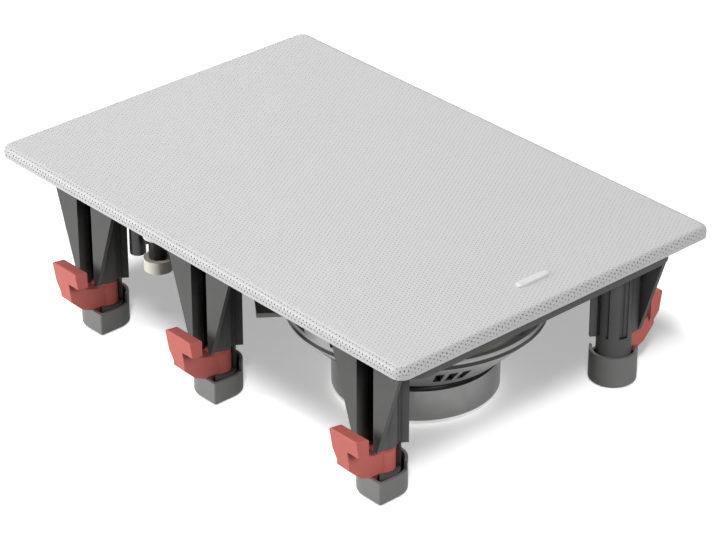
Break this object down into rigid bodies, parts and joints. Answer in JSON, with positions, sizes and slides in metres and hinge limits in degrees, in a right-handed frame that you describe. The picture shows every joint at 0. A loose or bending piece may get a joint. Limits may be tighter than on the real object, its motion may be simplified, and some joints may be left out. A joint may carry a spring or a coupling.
{
  "type": "in wall speaker",
  "caption": "Rectangular in-wall loudspeaker with a perforated grille over a moulded frame, a woofer and tweeter, and swing-out clamp dogs on screw towers behind it.",
  "frame": {"origin": "centre of the floor under the feet, with the grille facing up", "axes": "+X along the long side towards the woofer end, +Y across, +Z from the wall cavity to the room"},
  "size_m": [0.302, 0.2094, 0.0929],
  "materials": {
    "grille_white": "powder coat, perforated sheet",
    "badge_white": "satin",
    "frame_black": "moulded, lightly textured",
    "foot_black": "moulded, satin",
    "dog_red": "moulded, satin",
    "screw_zinc": "zinc plated",
    "screw_black": "black oxide",
    "magnet_nickel": "nickel plated",
    "basket_grey": "moulded, satin",
    "motor_steel": "zinc plated",
    "ferrite": "ground ferrite",
    "copper_wire": "enamelled copper",
    "cone_paper": "coated pulp",
    "surround_rubber": "matt",
    "spider_cloth": "resin-dipped cloth",
    "cream_fibre": "pressed fibre",
    "driver_plastic": "moulded",
    "dome_cloth": "coated cloth",
    "board_laminate": "dark circuit laminate",
    "cream_plastic": "moulded",
    "coil_enamel": "dark enamelled winding wire",
    "can_sleeve": "shrink sleeve",
    "cement": "cement case",
    "button_red": "moulded",
    "button_black": "moulded"
  },
  "bodies": {
    "frame": {"grille": "grille_white", "badge_plate": "badge_white", "frame": "frame_black", "grille_magnets": "magnet_nickel", "woofer_basket": "basket_grey", "woofer_back_plate": "motor_steel", "woofer_magnet": "ferrite", "woofer_top_plate": "motor_steel", "woofer_surround": "surround_rubber", "woofer_spider": "spider_cloth", "woofer_terminals": "cream_fibre", "woofer_screws": "screw_black", "tweeter_faceplate": "driver_plastic", "tweeter_dome": "dome_cloth", "tweeter_motor": "motor_steel", "tweeter_screws": "screw_black", "crossover_board": "board_laminate", "board_screws": "screw_zinc", "coil_bobbins": "cream_plastic", "coil_windings": "coil_enamel", "can_capacitors": "can_sleeve", "film_capacitors": "cream_plastic", "cement_resistor": "cement", "terminal_block": "driver_plastic", "foot_cup_1": "foot_black", "foot_cup_2": "foot_black", "foot_cup_3": "foot_black", "foot_cup_4": "foot_black", "foot_cup_5": "foot_black", "foot_cup_6": "foot_black"},
    "woofer_diaphragm": {"woofer_cone": "cone_paper", "woofer_dust_cap": "cone_paper", "woofer_voice_coil": "copper_wire"},
    "terminal_red": {"terminal_button_red": "button_red"},
    "terminal_black": {"terminal_button_black": "button_black"},
    "clamp_screw_1": {"clamp_screw_1": "screw_zinc"},
    "clamp_dog_1": {"clamp_dog_1": "dog_red"},
    "clamp_screw_2": {"clamp_screw_2": "screw_zinc"},
    "clamp_dog_2": {"clamp_dog_2": "dog_red"},
    "clamp_screw_3": {"clamp_screw_3": "screw_zinc"},
    "clamp_dog_3": {"clamp_dog_3": "dog_red"},
    "clamp_screw_4": {"clamp_screw_4": "screw_zinc"},
    "clamp_dog_4": {"clamp_dog_4": "dog_red"},
    "clamp_screw_5": {"clamp_screw_5": "screw_zinc"},
    "clamp_dog_5": {"clamp_dog_5": "dog_red"},
    "clamp_screw_6": {"clamp_screw_6": "screw_zinc"},
    "clamp_dog_6": {"clamp_dog_6": "dog_red"}
  },
  "joints": [
    {"name": "clamp_swing_1", "type": "hinge", "parent": "frame", "child": "clamp_screw_1", "pos_m": [0.1107, -0.077, 0.04], "axis": [0, 0, -1], "range_deg": [-90, 0]},
    {"name": "clamp_climb_1", "type": "slide", "parent": "clamp_screw_1", "child": "clamp_dog_1", "axis": [0, 0, 1], "range_m": [0, 0.034]},
    {"name": "clamp_swing_2", "type": "hinge", "parent": "frame", "child": "clamp_screw_2", "pos_m": [-0.0102, -0.077, 0.04], "axis": [0, 0, -1], "range_deg": [-90, 0]},
    {"name": "clamp_climb_2", "type": "slide", "parent": "clamp_screw_2", "child": "clamp_dog_2", "axis": [0, 0, 1], "range_m": [0, 0.034]},
    {"name": "clamp_swing_3", "type": "hinge", "parent": "frame", "child": "clamp_screw_3", "pos_m": [-0.1014, -0.077, 0.04], "axis": [0, 0, -1], "range_deg": [-90, 0]},
    {"name": "clamp_climb_3", "type": "slide", "parent": "clamp_screw_3", "child": "clamp_dog_3", "axis": [0, 0, 1], "range_m": [0, 0.034]},
    {"name": "clamp_swing_4", "type": "hinge", "parent": "frame", "child": "clamp_screw_4", "pos_m": [0.1137, 0.077, 0.04], "axis": [0, 0, -1], "range_deg": [-90, 0]},
    {"name": "clamp_climb_4", "type": "slide", "parent": "clamp_screw_4", "child": "clamp_dog_4", "axis": [0, 0, 1], "range_m": [0, 0.034]},
    {"name": "clamp_swing_5", "type": "hinge", "parent": "frame", "child": "clamp_screw_5", "pos_m": [-0.0072, 0.077, 0.04], "axis": [0, 0, -1], "range_deg": [-90, 0]},
    {"name": "clamp_climb_5", "type": "slide", "parent": "clamp_screw_5", "child": "clamp_dog_5", "axis": [0, 0, 1], "range_m": [0, 0.034]},
    {"name": "clamp_swing_6", "type": "hinge", "parent": "frame", "child": "clamp_screw_6", "pos_m": [-0.0984, 0.077, 0.04], "axis": [0, 0, -1], "range_deg": [-90, 0]},
    {"name": "clamp_climb_6", "type": "slide", "parent": "clamp_screw_6", "child": "clamp_dog_6", "axis": [0, 0, 1], "range_m": [0, 0.034]},
    {"name": "woofer_stroke", "type": "slide", "parent": "frame", "child": "woofer_diaphragm", "axis": [0, 0, 1], "range_m": [-0.004, 0.004], "stiffness_N_per_m": 1200, "deforming": ["woofer_surround", "woofer_spider"]},
    {"name": "terminal_red_press", "type": "slide", "parent": "frame", "child": "terminal_red", "axis": [0, 0, 1], "range_m": [0, 0.003], "stiffness_N_per_m": 400, "springref_m": -0.003},
    {"name": "terminal_black_press", "type": "slide", "parent": "frame", "child": "terminal_black", "axis": [0, 0, 1], "range_m": [0, 0.003], "stiffness_N_per_m": 400, "springref_m": -0.003}
  ]
}
